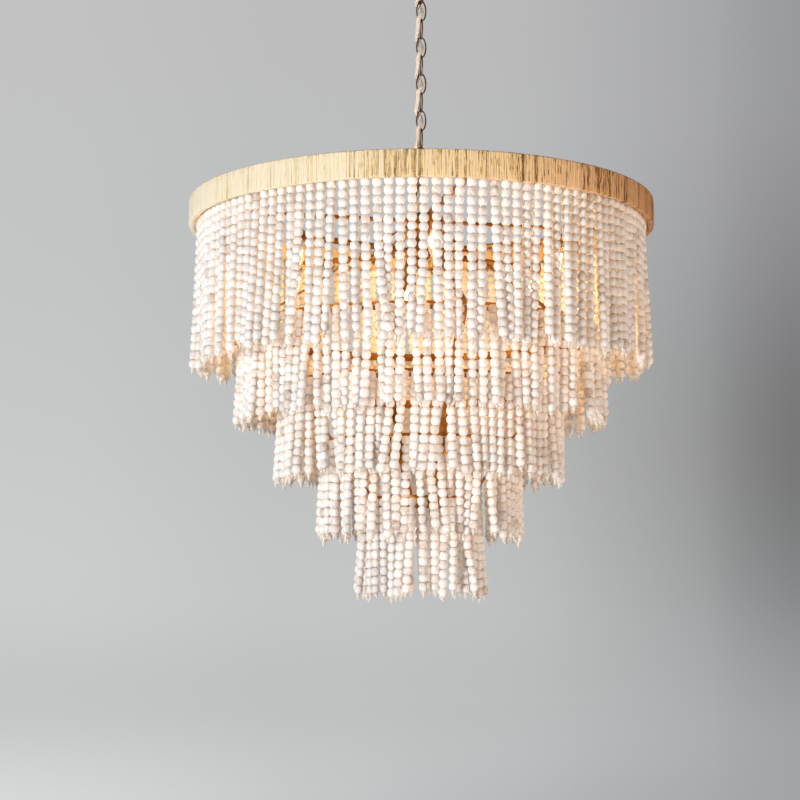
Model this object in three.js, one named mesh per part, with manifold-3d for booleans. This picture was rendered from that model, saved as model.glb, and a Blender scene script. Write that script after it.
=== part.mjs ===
// A round beaded chandelier that hangs from the ceiling on a chain: a hoop wound with jute,
// and under it five tiers of wooden bead strands that step inwards down to the smallest ring.
// Sizes are in millimetres, +Z is up, and z = 0 is the ceiling on the chandelier's own axis.

import * as THREE from "three";
import { mergeVertices } from "three/addons/utils/BufferGeometryUtils.js";
import Module from "manifold-3d";

const wasm = await Module();
wasm.setup();

// Fits and facets
const seatGap = 0.3; // between two pieces that touch
const cutOverrun = 2; // how far a cut runs past the face it opens
const mergeDistance = 1e-4; // points closer than this are one point
const tierFacets = [48, 36, 36, 24, 16]; // shared out evenly among each tier's sections and stays
const canopyFacets = 20;
const turnedFacets = 12;
const socketFacets = 10;
const armFacets = 8;
const wireFacets = 6;
const linkFacets = 12;
const domeSteps = 4;
const bulbSteps = 3;

// Bead strands
const beadDiameter = 13.5;
const beadLength = 13.4; // along the thread, between the flats at the hole
const strandSpacing = 16.6; // along the ring that carries the strands
const strandSides = 3;
const strandRadiusShare = 0.56; // of a bead's diameter, so that three sides keep the beads' bulk
const knotLength = 7;
const headerHeight = 3; // the cord that the strands are knotted to
const headerEdge = 1.2; // header beyond the strands on each side
const headerRise = 5; // from the band's lower edge up to the first header's top, inside the band

// Jute band and the hoop inside it
const bandDiameter = 750;
const bandHeight = 41;
const wrapThickness = 3;
const wrapRounding = 1.2;
const hoopThickness = 3;

// Rings and tiers below the band
const secondTierDiameter = 578; // measured on the strands' middles
const lastTierDiameter = 181;
const secondRingDrop = 187.5; // from the band's middle to the ring's middle
const ringDropStep = 90.5;
const ringHeight = 13;
const ringThickness = 2.5;
const stayCount = 4;
const stayWidth = 12;
const stayThickness = 3;
const tierBeadCounts = [17, 11, 11, 11, 11];
const tierSectionCounts = [6, 4, 3, 2, 2];
const firstRing = 2; // the band itself carries the first tier

// Hub and spokes
const hubDiameter = 48;
const hubHeight = 20;
const spokeCount = 4;
const spokeWidth = 12;
const spokeThickness = 5;
const spokeDepth = 4; // from the hub's top to the spokes' middle
const bandRise = 2.5; // the band's middle above the spokes' middle
const stayFoot = 5; // from the hub's underside to the middle of its slanted stays

// Threaded pipe, nuts and loops
const pipeDiameter = 13;
const pipeBore = 9.2;
const nutSides = 6;
const nutAcrossCorners = 22;
const nutHeight = 4;
const loopWire = 4;
const loopDiameter = 24; // over the wire
const loopNeckDiameter = 22;
const loopNeckRadiusTop = 8;
const loopDome = 4; // height of the rounded end that carries the ring
const loopSocketDepth = 12;
const hubLoopSocketDepth = 5;
const cordHoleDiameter = 9.2;

// Chain
const linkWire = 2.4;
const linkLength = 36.6;
const linkWidth = 17.6;
const linkCount = 11;
const linkSlack = 0.9; // between the wires of a link and the next, at their middles

// Power cord
const cordDiameter = 7.5;
const cordSides = 8;
const cordStepsPerLink = 4;
const cordTailTop = 14; // cord inside the ceiling pipe, above the loop's neck
const cordTailBottom = 60; // cord inside the column, below the loop's neck
// Where the cord runs by a facing link: from its middle, as a share of the pitch,
// then sideways and front to back, as shares of the distance that clears a wire
const weaveShares = [
  [0, 0, 0],
  [0.26, 0.3, 0.85],
  [0.5, 1, 1],
];
const weaveEdgeShare = 0.9;
const weaveMouthShare = 0.55; // in the middle of each loop's ring
const weaveLoopShare = 1.35; // how much wider the cord swings beside a loop's thicker wire

// Ceiling bar, screws and canopy
const barInset = 11.5; // from the canopy's edge to the bar's end
const barWidth = 20;
const barThickness = 2.5;
const screwEdge = 10; // from the bar's end to the middle of a screw
const screwDiameter = 4.2;
const screwHeadDiameter = 8.4;
const screwHeadHeight = 2.6;
const screwReach = 14; // above the ceiling, in the junction box
const nippleReach = 8; // above the ceiling, in the junction box
const canopyDiameter = 127;
const canopyDepth = 24;
const canopySheet = 1.2;
const canopyRimHeight = 5;
const canopyStep = 3.5;
const canopyFlatDiameter = 44;
const collarDiameter = 32;
const collarHeight = 8;
const collarFlutes = 20;
const fluteDepth = 0.8;

// Lamp arms, sockets and bulbs
const lampCount = 6;
const lampCircle = 468; // diameter of the circle through the bulbs
const lampTurn = 22; // degrees from the first spoke to the first bulb
const lampDrop = 56; // from the hub's top to the arms' middle
const lampHubDiameter = 36;
const lampHubHeight = 24;
const lampHubEdge = 4;
const armDiameter = 10;
const socketDiameter = 25;
const socketHeight = 20;
const socketRecess = 13;
const socketWall = 2;
const bulbBaseDiameter = 12;
const bulbBaseLength = 16;
const bulbDiameter = 23;
const bulbLength = 46; // of the glass below the base
const bulbShoulderShare = 0.42; // of the glass, from its base to its widest place
const finialDiameter = 20;
const finialLength = 30;
const finialSeatShare = 0.5; // of the finial, that the column reaches into
// The finial's outline from its tip up, as shares of its radius and of its length
const finialOutlineShares = [
  [0, 1],
  [0.5, 0.92],
  [0.66, 0.8],
  [0.4, 0.7],
  [1, 0.3],
  [1, 0],
  [0, 0],
];

// Worked out from the sizes above
const bandRadius = bandDiameter / 2;
const hoopOuter = bandRadius - wrapThickness - seatGap;
const hoopInner = hoopOuter - hoopThickness;
const wrapInner = hoopInner - seatGap - wrapThickness;
const loopRing = (loopDiameter - loopWire) / 2;
const linkPitch = linkLength - 2 * linkWire - linkSlack;
const linkRise = (linkLength - linkWire) / 2;
const linkSpread = (linkWidth - linkWire) / 2;
const hang = (loopWire + linkWire) / 2 + linkSlack;
const canopyLoopZ = -(canopyDepth + collarHeight + loopDome) - loopRing + loopWire / 2;
const firstLinkZ = canopyLoopZ - loopRing + hang - linkRise;
const lastLinkZ = firstLinkZ - (linkCount - 1) * linkPitch;
const hubLoopZ = lastLinkZ - linkRise + hang - loopRing;
const hubLoopNeck = hubLoopSocketDepth + loopDome;
const hubTop = hubLoopZ - loopRing + loopWire / 2 - hubLoopNeck - seatGap;
const hubBottom = hubTop - hubHeight;
const spokeZ = hubTop - spokeDepth;
const bandZ = spokeZ + bandRise;
const bandBottom = bandZ - bandHeight / 2;
const lampZ = hubTop - lampDrop;
const lampHubBottom = lampZ - lampHubHeight / 2;
const columnBottom = lampHubBottom - finialLength * finialSeatShare;
const strandRadius = beadDiameter * strandRadiusShare;
const tierCount = tierBeadCounts.length;
const tierDiameterStep = (secondTierDiameter - lastTierDiameter) / (tierCount - firstRing);
const cordClear = (cordDiameter + loopWire) / 2 + seatGap;
const pipeRadius = pipeDiameter / 2;
const pipeHole = pipeRadius + seatGap;

const paints = {
  brass: { color: 0xb98a3e, roughness: 0.35, metalness: 0.9 },
  bronze: { color: 0x6b5637, roughness: 0.4, metalness: 0.9 },
  steel: { color: 0x8f9296, roughness: 0.45, metalness: 0.9 },
  jute: { color: 0xd9bf8a, roughness: 0.95, metalness: 0 },
  wood: { color: 0xf1e9e2, roughness: 0.8, metalness: 0 },
  cord: { color: 0xe6ddcc, roughness: 0.85, metalness: 0 },
  glass: { color: 0xffe2b0, roughness: 0.1, metalness: 0 },
};

const chandelier = new THREE.Group();
const vec = (x, y, z) => new THREE.Vector3(x, y, z);

// A closed geometry as a solid that can be joined and cut
function solid(geometry) {
  const bare = geometry.clone();
  bare.deleteAttribute("normal");
  bare.deleteAttribute("uv");
  const merged = mergeVertices(bare, mergeDistance);
  return new wasm.Manifold(
    new wasm.Mesh({
      numProp: 3,
      vertProperties: merged.attributes.position.array,
      triVerts: new Uint32Array(merged.index.array),
    }),
  );
}

// A solid back as a geometry
function geometryOf(body) {
  const mesh = body.getMesh();
  const geometry = new THREE.BufferGeometry();
  geometry.setAttribute("position", new THREE.BufferAttribute(mesh.vertProperties, 3));
  geometry.setIndex(new THREE.BufferAttribute(mesh.triVerts, 1));
  geometry.computeVertexNormals();
  return geometry;
}

function add(name, shape, paint) {
  const geometry = shape.isBufferGeometry ? shape : geometryOf(shape);
  const material = new THREE.MeshStandardMaterial({ ...paints[paint], flatShading: true });
  const mesh = new THREE.Mesh(geometry, material);
  mesh.name = name;
  chandelier.add(mesh);
  return mesh;
}

// A profile of [radius, z] points turned round the Z axis, its outside running upwards,
// with its first corner towards +X
function turned(profile, facets = turnedFacets) {
  const points = profile.map(([radius, z]) => new THREE.Vector2(radius, z));
  return new THREE.LatheGeometry(points, facets).rotateX(Math.PI / 2).rotateZ(Math.PI / 2);
}

function rod(radius, bottom, top, facets = turnedFacets) {
  return turned([[0, bottom], [radius, bottom], [radius, top], [0, top]], facets);
}

function tubeBetween(inner, outer, bottom, top, facets) {
  const wall = [[inner, bottom], [outer, bottom], [outer, top], [inner, top], [inner, bottom]];
  return turned(wall, facets);
}

function bar(length, width, thickness, start, z) {
  return new THREE.BoxGeometry(length, width, thickness).translate(start + length / 2, 0, z);
}

// An angle in radians as a part of a full turn
const partTurn = (index, count) => (2 * Math.PI * index) / count;

// The closed oval that a chain link's wire follows, in the XZ plane
class LinkOval extends THREE.Curve {
  getPoint(t, target = new THREE.Vector3()) {
    const turn = 2 * Math.PI * t;
    return target.set(linkSpread * Math.sin(turn), 0, linkRise * Math.cos(turn));
  }
}

// The ring of a loop, standing in the YZ plane
function loopTorus(z) {
  const torus = new THREE.TorusGeometry(loopRing, loopWire / 2, wireFacets, linkFacets);
  return torus.rotateY(Math.PI / 2).translate(0, 0, z);
}

// Ceiling bar, its two screws, the nipple and its nut
const barLength = canopyDiameter - 2 * barInset;
const screwPlaces = [screwEdge - barLength / 2, barLength / 2 - screwEdge];
let ceilingBar = solid(bar(barLength, barWidth, barThickness, -barLength / 2, -barThickness / 2));
ceilingBar = ceilingBar.subtract(solid(rod(pipeHole, -barThickness - cutOverrun, cutOverrun)));
screwPlaces.forEach((x, index) => {
  const hole = rod(screwDiameter / 2 + seatGap, -barThickness - cutOverrun, cutOverrun);
  ceilingBar = ceilingBar.subtract(solid(hole.translate(x, 0, 0)));
  const headTop = -barThickness - seatGap;
  const headBottom = headTop - screwHeadHeight;
  const screw = turned([
    [0, headBottom],
    [screwHeadDiameter / 4, headBottom],
    [screwHeadDiameter / 2, headTop - screwHeadHeight / 2],
    [screwHeadDiameter / 2, headTop],
    [screwDiameter / 2, headTop],
    [screwDiameter / 2, screwReach - screwDiameter / 2],
    [0, screwReach],
  ]);
  add("ceiling_screw_" + (index + 1), screw.translate(x, 0, 0), "steel");
});
add("ceiling_bar", ceilingBar, "steel");

const loopTop = -(canopyDepth + collarHeight) + loopSocketDepth + collarHeight;
const nippleBottom = loopTop - loopSocketDepth + seatGap;
add("nipple", tubeBetween(pipeBore / 2, pipeRadius, nippleBottom, nippleReach), "steel");

function hexNut(top) {
  const nut = solid(rod(nutAcrossCorners / 2, top - nutHeight, top, nutSides));
  return nut.subtract(solid(rod(pipeHole, top - nutHeight - cutOverrun, top + cutOverrun)));
}
add("nipple_nut", hexNut(-barThickness - seatGap), "steel");

// Canopy: a spun dish whose flat middle carries the loop's neck
function dome(inset) {
  const wide = canopyDiameter / 2 - canopyStep - inset;
  const deep = canopyDepth - canopyRimHeight - inset;
  const lastTurn = Math.acos(canopyFlatDiameter / 2 / wide);
  const points = [];
  for (let step = 0; step <= domeSteps; step++) {
    const turn = (lastTurn * step) / domeSteps;
    const drop = (deep * Math.sin(turn)) / Math.sin(lastTurn);
    points.push([wide * Math.cos(turn), -canopyRimHeight - drop]);
  }
  return points;
}
const canopyHole = loopNeckDiameter / 2 + seatGap;
const canopyProfile = [
  [canopyHole, -canopyDepth],
  ...dome(0).reverse(),
  [canopyDiameter / 2, -canopyRimHeight],
  [canopyDiameter / 2, 0],
  [canopyDiameter / 2 - canopySheet, 0],
  [canopyDiameter / 2 - canopySheet, -canopyRimHeight + canopySheet],
  [canopyDiameter / 2 - canopyStep - canopySheet, -canopyRimHeight + canopySheet],
  ...dome(canopySheet).slice(1),
  [canopyHole, -canopyDepth + canopySheet],
  [canopyHole, -canopyDepth],
];
add("canopy", turned(canopyProfile, canopyFacets), "bronze");

// The knurled collar that screws up the loop's neck and holds the canopy to the ceiling
const collar = new THREE.Shape();
for (let step = 0; step < 2 * collarFlutes; step++) {
  const turn = (Math.PI * step) / collarFlutes;
  const radius = collarDiameter / 2 - (step % 2) * fluteDepth;
  const place = [radius * Math.cos(turn), radius * Math.sin(turn)];
  if (step) collar.lineTo(...place);
  else collar.moveTo(...place);
}
collar.closePath();
collar.holes.push(new THREE.Path().absarc(0, 0, canopyHole, 0, 2 * Math.PI, true));
const collarTop = -canopyDepth - seatGap;
const collarBody = new THREE.ExtrudeGeometry(collar, {
  depth: collarHeight - 2 * seatGap,
  bevelEnabled: false,
  curveSegments: turnedFacets,
});
const collarPlaced = collarBody.translate(0, 0, collarTop - collarHeight + 2 * seatGap);
add("canopy_collar", collarPlaced, "bronze");

// The two loops: a turned neck with a socket for the pipe, a hole for the cord and a ring
function loop(ringZ, neckEnd, neckRadius, socketDepth, side) {
  const ringTop = ringZ + side * (loopRing - loopWire / 2);
  const rounded = ringTop + side * loopDome;
  const profile = [
    [0, ringTop],
    [loopNeckRadiusTop, ringTop],
    [neckRadius, rounded],
    [neckRadius, neckEnd],
    [0, neckEnd],
  ];
  const neck = solid(turned(side > 0 ? profile : profile.reverse()));
  const socketEnd = neckEnd - side * socketDepth;
  const socket = [socketEnd, neckEnd + side * cutOverrun].sort((a, b) => a - b);
  const hole = [ringZ, socketEnd + side * cutOverrun].sort((a, b) => a - b);
  return neck
    .add(solid(loopTorus(ringZ)))
    .subtract(solid(rod(pipeHole, ...socket)))
    .subtract(solid(rod(cordHoleDiameter / 2, ...hole)));
}
const neckRadius = loopNeckDiameter / 2;
add("canopy_loop", loop(canopyLoopZ, loopTop, neckRadius, loopSocketDepth, 1), "bronze");
const hubLoopEnd = hubTop + seatGap;
add("hub_loop", loop(hubLoopZ, hubLoopEnd, neckRadius, hubLoopSocketDepth, -1), "bronze");

// Chain: every other link is turned a quarter, and each hangs in the one above
const linkZ = (index) => firstLinkZ - index * linkPitch;
for (let index = 0; index < linkCount; index++) {
  const wire = new THREE.TubeGeometry(
    new LinkOval(), linkFacets, linkWire / 2, wireFacets, true);
  const link = add("chain_link_" + String(index + 1).padStart(2, "0"), wire, "bronze");
  link.position.z = linkZ(index);
  link.rotation.z = (index % 2) * (Math.PI / 2);
}

// Power cord: through every facing link from back to front, beside the links between them
function cordRoute() {
  const route = [];
  const place = (z, across, along) => route.push(vec(-cordClear * across, cordClear * along, z));
  const neckTop = canopyLoopZ + loopRing - loopWire / 2;
  place(neckTop + cordTailTop, 0, 0);
  place(neckTop + cordTailTop / 2, 0, 0);
  place(neckTop, 0, 0);
  place(canopyLoopZ, weaveMouthShare, 0);
  for (let index = 0; index < linkCount; index += 2) {
    const above = index === 0 ? weaveLoopShare : 1;
    const below = index + 1 >= linkCount ? weaveLoopShare : 1;
    for (const [down, across, along] of [...weaveShares].reverse())
      place(linkZ(index) + down * linkPitch, across, along * above);
    for (const [down, across, along] of weaveShares.slice(1))
      place(linkZ(index) - down * linkPitch, across, -along * below);
    if (index + 1 < linkCount) place(linkZ(index + 1), weaveEdgeShare, 0);
  }
  const neckBottom = hubLoopZ - loopRing + loopWire / 2;
  place(hubLoopZ, weaveMouthShare, 0);
  place(neckBottom, 0, 0);
  place(neckBottom - cordTailTop / 2, 0, 0);
  place(neckBottom - cordTailBottom, 0, 0);
  return new THREE.CatmullRomCurve3(route);
}
const cordSection = new THREE.Shape();
for (let corner = 0; corner < cordSides; corner++) {
  const turn = partTurn(corner, cordSides);
  const place = [(cordDiameter / 2) * Math.cos(turn), (cordDiameter / 2) * Math.sin(turn)];
  if (corner) cordSection.lineTo(...place);
  else cordSection.moveTo(...place);
}
cordSection.closePath();
const cord = new THREE.ExtrudeGeometry(cordSection, {
  extrudePath: cordRoute(),
  steps: cordStepsPerLink * (linkCount + 3),
  bevelEnabled: false,
});
add("power_cord", cord, "cord");

// Column: one threaded pipe from the hub's loop to the finial, with a nut under the hub
const columnTop = hubTop + hubLoopSocketDepth;
add("column", tubeBetween(pipeBore / 2, pipeRadius, columnBottom, columnTop), "brass");
add("hub_nut", hexNut(hubBottom - seatGap), "brass");

// Top frame: the hoop, four spokes and the hub, welded together
const hubBody = [
  solid(rod(hubDiameter / 2, hubBottom, hubTop, canopyFacets)),
  solid(tubeBetween(
    hoopInner, hoopOuter, bandBottom + wrapThickness, bandZ + bandHeight / 2 - wrapThickness - seatGap,
    tierFacets[0])),
];
const spokeLength = hoopInner + hoopThickness / 2;
for (let turn = 0; turn < spokeCount; turn++) {
  const spoke = bar(spokeLength, spokeWidth, spokeThickness, 0, spokeZ);
  hubBody.push(solid(spoke.rotateZ(partTurn(turn, spokeCount))));
}
const hubBore = solid(rod(pipeHole, hubBottom - cutOverrun, hubTop + cutOverrun));
add("top_frame", wasm.Manifold.union(hubBody).subtract(hubBore), "brass");

// Jute band: wound over the hoop's outside, top and inside, open below for the strands' cord
const wrapTop = bandZ + bandHeight / 2;
const wrapProfile = [
  [bandRadius, bandBottom],
  [bandRadius, wrapTop - wrapRounding],
  [bandRadius - wrapRounding, wrapTop],
  [wrapInner, wrapTop],
  [wrapInner, bandBottom],
  [hoopInner - seatGap, bandBottom],
  [hoopInner - seatGap, wrapTop - wrapThickness],
  [bandRadius - wrapThickness, wrapTop - wrapThickness],
  [bandRadius - wrapThickness, bandBottom],
  [bandRadius, bandBottom],
];
let wrap = solid(turned(wrapProfile, tierFacets[0]));
for (let turn = 0; turn < spokeCount; turn++) {
  const notch = bar(
    hoopInner, spokeWidth + 2 * seatGap, spokeThickness + 2 * seatGap, 0, spokeZ);
  wrap = wrap.subtract(solid(notch.rotateZ(partTurn(turn, spokeCount))));
}
add("jute_band", wrap, "jute");

// Rings 2 to 5, each with four stays up to what carries it
const ringZ = (ring) => bandZ - secondRingDrop - (ring - firstRing) * ringDropStep;
const tierRadius = (tier) =>
  tier < firstRing
    ? wrapInner - seatGap - headerEdge - strandRadius
    : (secondTierDiameter - (tier - firstRing) * tierDiameterStep) / 2;
const strandInset = beadDiameter / 2 + headerEdge;
const ringOuter = (ring) => tierRadius(ring) - strandInset - seatGap;

// A flat stay in the XZ plane, from its seat at the top to the middle of the ring it carries
function stay(topRadius, topZ, footRadius, footZ) {
  const half = stayThickness / 2;
  const outline = new THREE.Shape();
  outline.moveTo(topRadius, topZ + half);
  outline.lineTo(topRadius, topZ - half);
  outline.lineTo(footRadius, footZ - half);
  outline.lineTo(footRadius, footZ + half);
  outline.closePath();
  const flat = new THREE.ExtrudeGeometry(outline, { depth: stayWidth, bevelEnabled: false });
  return flat.rotateX(Math.PI / 2).translate(0, stayWidth / 2, 0);
}
for (let ring = firstRing; ring <= tierCount; ring++) {
  const outer = ringOuter(ring);
  const inner = outer - ringThickness;
  const z = ringZ(ring);
  const facets = tierFacets[ring - 1];
  const band = tubeBetween(inner, outer, z - ringHeight / 2, z + ringHeight / 2, facets);
  const pieces = [solid(band)];
  const upperInner = ringOuter(ring - 1) - ringThickness;
  const above = ring === firstRing
    ? [hubDiameter / 2 + seatGap, hubBottom + stayFoot]
    : [upperInner * Math.cos(Math.PI / tierFacets[ring - 2]) - seatGap, ringZ(ring - 1)];
  const foot = [inner + ringThickness / 2, z + ringHeight / 2 - stayThickness];
  for (let turn = 0; turn < stayCount; turn++)
    pieces.push(solid(stay(...above, ...foot).rotateZ(partTurn(turn, stayCount))));
  add("ring_" + ring, wasm.Manifold.union(pieces), "brass");
}

// Bead strands: each section of a tier is a slice of its header cord with its strands. The
// first tier's header lies against the band's inner face, the others round their rings.
function headerSlice(inner, outer, span, facets) {
  const corners = Array.from({ length: facets + 1 }, (_, corner) => (span * corner) / facets);
  const arc = (radius) =>
    corners.map((turn) => new THREE.Vector2(radius * Math.cos(turn), radius * Math.sin(turn)));
  const outline = new THREE.Shape([...arc(outer), ...arc(inner).reverse()]);
  return new THREE.ExtrudeGeometry(outline, { depth: headerHeight, bevelEnabled: false });
}
function strand(length) {
  return turned([
    [0, -length - knotLength],
    [strandRadius, -length + beadDiameter / 2],
    [strandRadius, headerHeight / 2],
    [0, headerHeight / 2],
  ], strandSides);
}
for (let tier = 1; tier <= tierCount; tier++) {
  const radius = tierRadius(tier);
  const sections = tierSectionCounts[tier - 1];
  const perSection = Math.round((2 * Math.PI * radius) / strandSpacing / sections);
  const step = (2 * Math.PI) / (perSection * sections);
  const slack = seatGap / radius;
  const topZ = tier < firstRing ? bandBottom + headerRise : ringZ(tier) + headerHeight / 2;
  const headerBottom = topZ - headerHeight;
  const length = tierBeadCounts[tier - 1] * beadLength - headerHeight;
  const facets = tierFacets[tier - 1] / sections;
  for (let section = 0; section < sections; section++) {
    const start = section * perSection * step;
    const span = perSection * step - slack;
    const header = headerSlice(
      radius - strandInset, radius + strandRadius + headerEdge, span, facets);
    const pieces = [solid(header.rotateZ(start).translate(0, 0, headerBottom))];
    for (let index = 0; index < perSection; index++) {
      const hung = strand(length).translate(radius, 0, headerBottom);
      pieces.push(solid(hung.rotateZ(start + (index + 0.5) * step - slack / 2)));
    }
    const name = "beads_tier_" + tier + "_section_" + (section + 1);
    add(name, wasm.Manifold.union(pieces), "wood");
  }
}

// Lamp arms: a turned hub on the column with six straight tubes
const lampRadius = lampCircle / 2;
const lampHub = turned([
  [0, lampHubBottom],
  [lampHubDiameter / 2 - lampHubEdge, lampHubBottom],
  [lampHubDiameter / 2, lampHubBottom + lampHubEdge],
  [lampHubDiameter / 2, lampHubBottom + lampHubHeight - lampHubEdge],
  [lampHubDiameter / 2 - lampHubEdge, lampHubBottom + lampHubHeight],
  [0, lampHubBottom + lampHubHeight],
]);
const armPieces = [solid(lampHub)];
const armEnd = lampRadius - socketDiameter / 2 - seatGap;
const lampAngle = (lamp) => THREE.MathUtils.degToRad(lampTurn) + partTurn(lamp, lampCount);
for (let lamp = 0; lamp < lampCount; lamp++) {
  const arm = rod(armDiameter / 2, 0, armEnd, armFacets).rotateY(Math.PI / 2).translate(0, 0, lampZ);
  armPieces.push(solid(arm.rotateZ(lampAngle(lamp))));
}
const lampBore = rod(pipeHole, lampHubBottom - cutOverrun, lampZ + lampHubHeight);
add("lamp_arms", wasm.Manifold.union(armPieces).subtract(solid(lampBore)), "brass");

// Finial: closes the column's end and carries the lamp arms
const finialTop = lampHubBottom - seatGap;
const finialOutline = finialOutlineShares.map(([across, down]) => [
  (finialDiameter / 2) * across,
  finialTop - finialLength * down,
]);
const finial = solid(turned(finialOutline));
const finialBore = rod(pipeHole, columnBottom - seatGap, finialTop + cutOverrun);
add("finial", finial.subtract(solid(finialBore)), "brass");

// Sockets and bulbs: the bulb's base sits in the socket's recess, its glass hangs below
const socketTop = lampZ + socketHeight / 2;
const socketBottom = lampZ - socketHeight / 2;
const recessTop = socketBottom + socketRecess;
const baseTop = recessTop - seatGap;
const glassTop = baseTop - bulbBaseLength;
const baseRadius = bulbBaseDiameter / 2;
// Wide enough that the base's corners clear the recess's flats as the bulb turns
const recessRadius = (baseRadius + seatGap) / Math.cos(Math.PI / socketFacets);
const socketProfile = [
  [0, recessTop],
  [recessRadius, recessTop],
  [recessRadius, socketBottom + socketWall],
  [baseRadius + socketWall, socketBottom],
  [socketDiameter / 2 - socketWall, socketBottom],
  [socketDiameter / 2, socketBottom + socketWall],
  [socketDiameter / 2, socketTop - 2 * socketWall],
  [socketDiameter / 2 - 2 * socketWall, socketTop],
  [0, socketTop],
];
const bulbWidest = glassTop - bulbLength * bulbShoulderShare;
const bulbProfile = [];
for (let step = 0; step <= bulbSteps; step++) {
  const turn = partTurn(step, 4 * bulbSteps);
  const drop = (bulbWidest - glassTop + bulbLength) * Math.cos(turn);
  bulbProfile.push([(bulbDiameter / 2) * Math.sin(turn), bulbWidest - drop]);
}
bulbProfile.push([baseRadius, glassTop], [baseRadius, baseTop], [0, baseTop]);
for (let lamp = 0; lamp < lampCount; lamp++) {
  const x = lampRadius * Math.cos(lampAngle(lamp));
  const y = lampRadius * Math.sin(lampAngle(lamp));
  const socket = turned(socketProfile, socketFacets);
  add("socket_" + (lamp + 1), socket.translate(x, y, 0), "brass");
  const bulb = turned(bulbProfile, socketFacets);
  add("bulb_" + (lamp + 1), bulb.translate(x, y, 0), "glass");
}

export default chandelier;
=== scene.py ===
# A round beaded chandelier on a chain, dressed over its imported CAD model. Every piece is written
# in the model's own frame: +Z is up, the ceiling is z = 0 and the column stands on the axis.
# Shapes are written in millimetres, and piece() turns them into the scene's metres.

import math

import bmesh
import bpy
import numpy as np
from mathutils import Matrix, Vector


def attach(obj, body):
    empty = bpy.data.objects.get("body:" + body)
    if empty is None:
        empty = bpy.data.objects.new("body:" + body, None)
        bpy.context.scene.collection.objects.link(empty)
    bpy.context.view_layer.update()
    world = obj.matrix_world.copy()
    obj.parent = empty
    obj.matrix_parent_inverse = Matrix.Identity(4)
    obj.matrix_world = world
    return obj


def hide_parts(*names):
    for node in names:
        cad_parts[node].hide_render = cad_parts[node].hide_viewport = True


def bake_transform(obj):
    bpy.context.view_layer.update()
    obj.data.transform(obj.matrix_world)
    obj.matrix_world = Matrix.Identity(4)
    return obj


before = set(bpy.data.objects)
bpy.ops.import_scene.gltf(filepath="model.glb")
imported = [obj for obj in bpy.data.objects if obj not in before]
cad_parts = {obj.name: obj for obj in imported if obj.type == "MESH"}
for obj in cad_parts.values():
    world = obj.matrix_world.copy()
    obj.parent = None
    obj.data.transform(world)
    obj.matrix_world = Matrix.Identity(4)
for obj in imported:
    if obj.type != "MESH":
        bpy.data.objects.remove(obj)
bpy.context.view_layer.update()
scene = bpy.context.scene
scene.view_settings.view_transform = "Standard"

# Camera: a long lens about 2.7 m from the axis, level with the lowest beads, tipped up a
# little and aimed just left of the chain.
camera_bearing = math.radians(13)
camera_distance = 2.74
camera_height = -1.0261
camera_aside = math.radians(0.7)
camera_tip = math.radians(6.5164)
camera_roll = math.radians(0.15)
camera_lens = bpy.data.cameras.new("camera")
camera_lens.lens = 77.142
camera_lens.sensor_width = 36
camera = bpy.data.objects.new("camera", camera_lens)
scene.collection.objects.link(camera)
scene.camera = camera
towards_camera = Vector((-math.sin(camera_bearing), -math.cos(camera_bearing), 0))
camera_right = Vector((math.cos(camera_bearing), -math.sin(camera_bearing), 0))
camera.matrix_world = (
    Matrix.Translation(towards_camera * camera_distance + Vector((0, 0, camera_height)))
    @ Matrix.Rotation(camera_aside - camera_bearing, 4, "Z")
    @ Matrix.Rotation(math.radians(90) + camera_tip, 4, "X")
    @ Matrix.Rotation(camera_roll, 4, "Z")
)


# Room: a plain grey wall with painted light and shade, lighter on the left and low down, drawn by
# the world for what looks straight at it, and a pale floor far below the beads.
def paint(code):
    """A colour written as six hex digits, as the linear numbers that Blender takes."""
    parts = [int(code[place : place + 2], 16) / 255 for place in (0, 2, 4)]
    linear = [part / 12.92 if part <= 0.04045 else ((part + 0.055) / 1.055) ** 2.4
              for part in parts]
    return (*linear, 1)


def put(owner, kind, inputs=None, **settings):
    """Adds a node to a finish or the world. Its inputs are numbers, colours or other sockets."""
    made = owner.node_tree.nodes.new(kind)
    for key, value in settings.items():
        setattr(made, key, value)
    for key, value in (inputs or {}).items():
        if isinstance(value, bpy.types.NodeSocket):
            owner.node_tree.links.new(value, made.inputs[key])
        else:
            made.inputs[key].default_value = value
    return made


def shades(owner, amount, *stops, ease="LINEAR"):
    """A colour that runs through stops of (place, hex code) as the amount goes from 0 to 1."""
    made = put(owner, "ShaderNodeValToRGB", {"Fac": amount})
    made.color_ramp.interpolation = ease
    ramp = made.color_ramp.elements
    while len(ramp) < len(stops):
        ramp.new(0.5)
    for stop, (place, code) in zip(ramp, stops):
        stop.position = place
        stop.color = paint(code)
    return made.outputs["Color"]


def stretch(owner, value, low, high, to_low=0.0, to_high=1.0):
    """A value that runs from low to high, spread over another range."""
    made = put(owner, "ShaderNodeMapRange", {
        "Value": value, "From Min": low, "From Max": high, "To Min": to_low, "To Max": to_high})
    return made.outputs["Result"]


def maths(owner, operation, *values):
    """One step of arithmetic on numbers and sockets."""
    return put(owner, "ShaderNodeMath", dict(enumerate(values)), operation=operation).outputs[0]


def vectors(owner, operation, *values, out="Vector"):
    """One step of arithmetic on places and directions."""
    made = put(owner, "ShaderNodeVectorMath", dict(enumerate(values)), operation=operation)
    return made.outputs[out]


def mixed(owner, share, first, second, blend="MIX"):
    """Two colours laid over each other."""
    made = put(owner, "ShaderNodeMix", {"Factor": share, "A": first, "B": second},
               data_type="RGBA", blend_type=blend)
    return made.outputs[2]


def noise(owner, scale, detail, place=None, roughness=0.5):
    """Soft random shades from 0 to 1. Without a place they are laid over the piece's own box."""
    inputs = {"Scale": scale, "Detail": detail, "Roughness": roughness}
    if place is not None:
        inputs["Vector"] = place
    return put(owner, "ShaderNodeTexNoise", inputs).outputs["Fac"]


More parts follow.
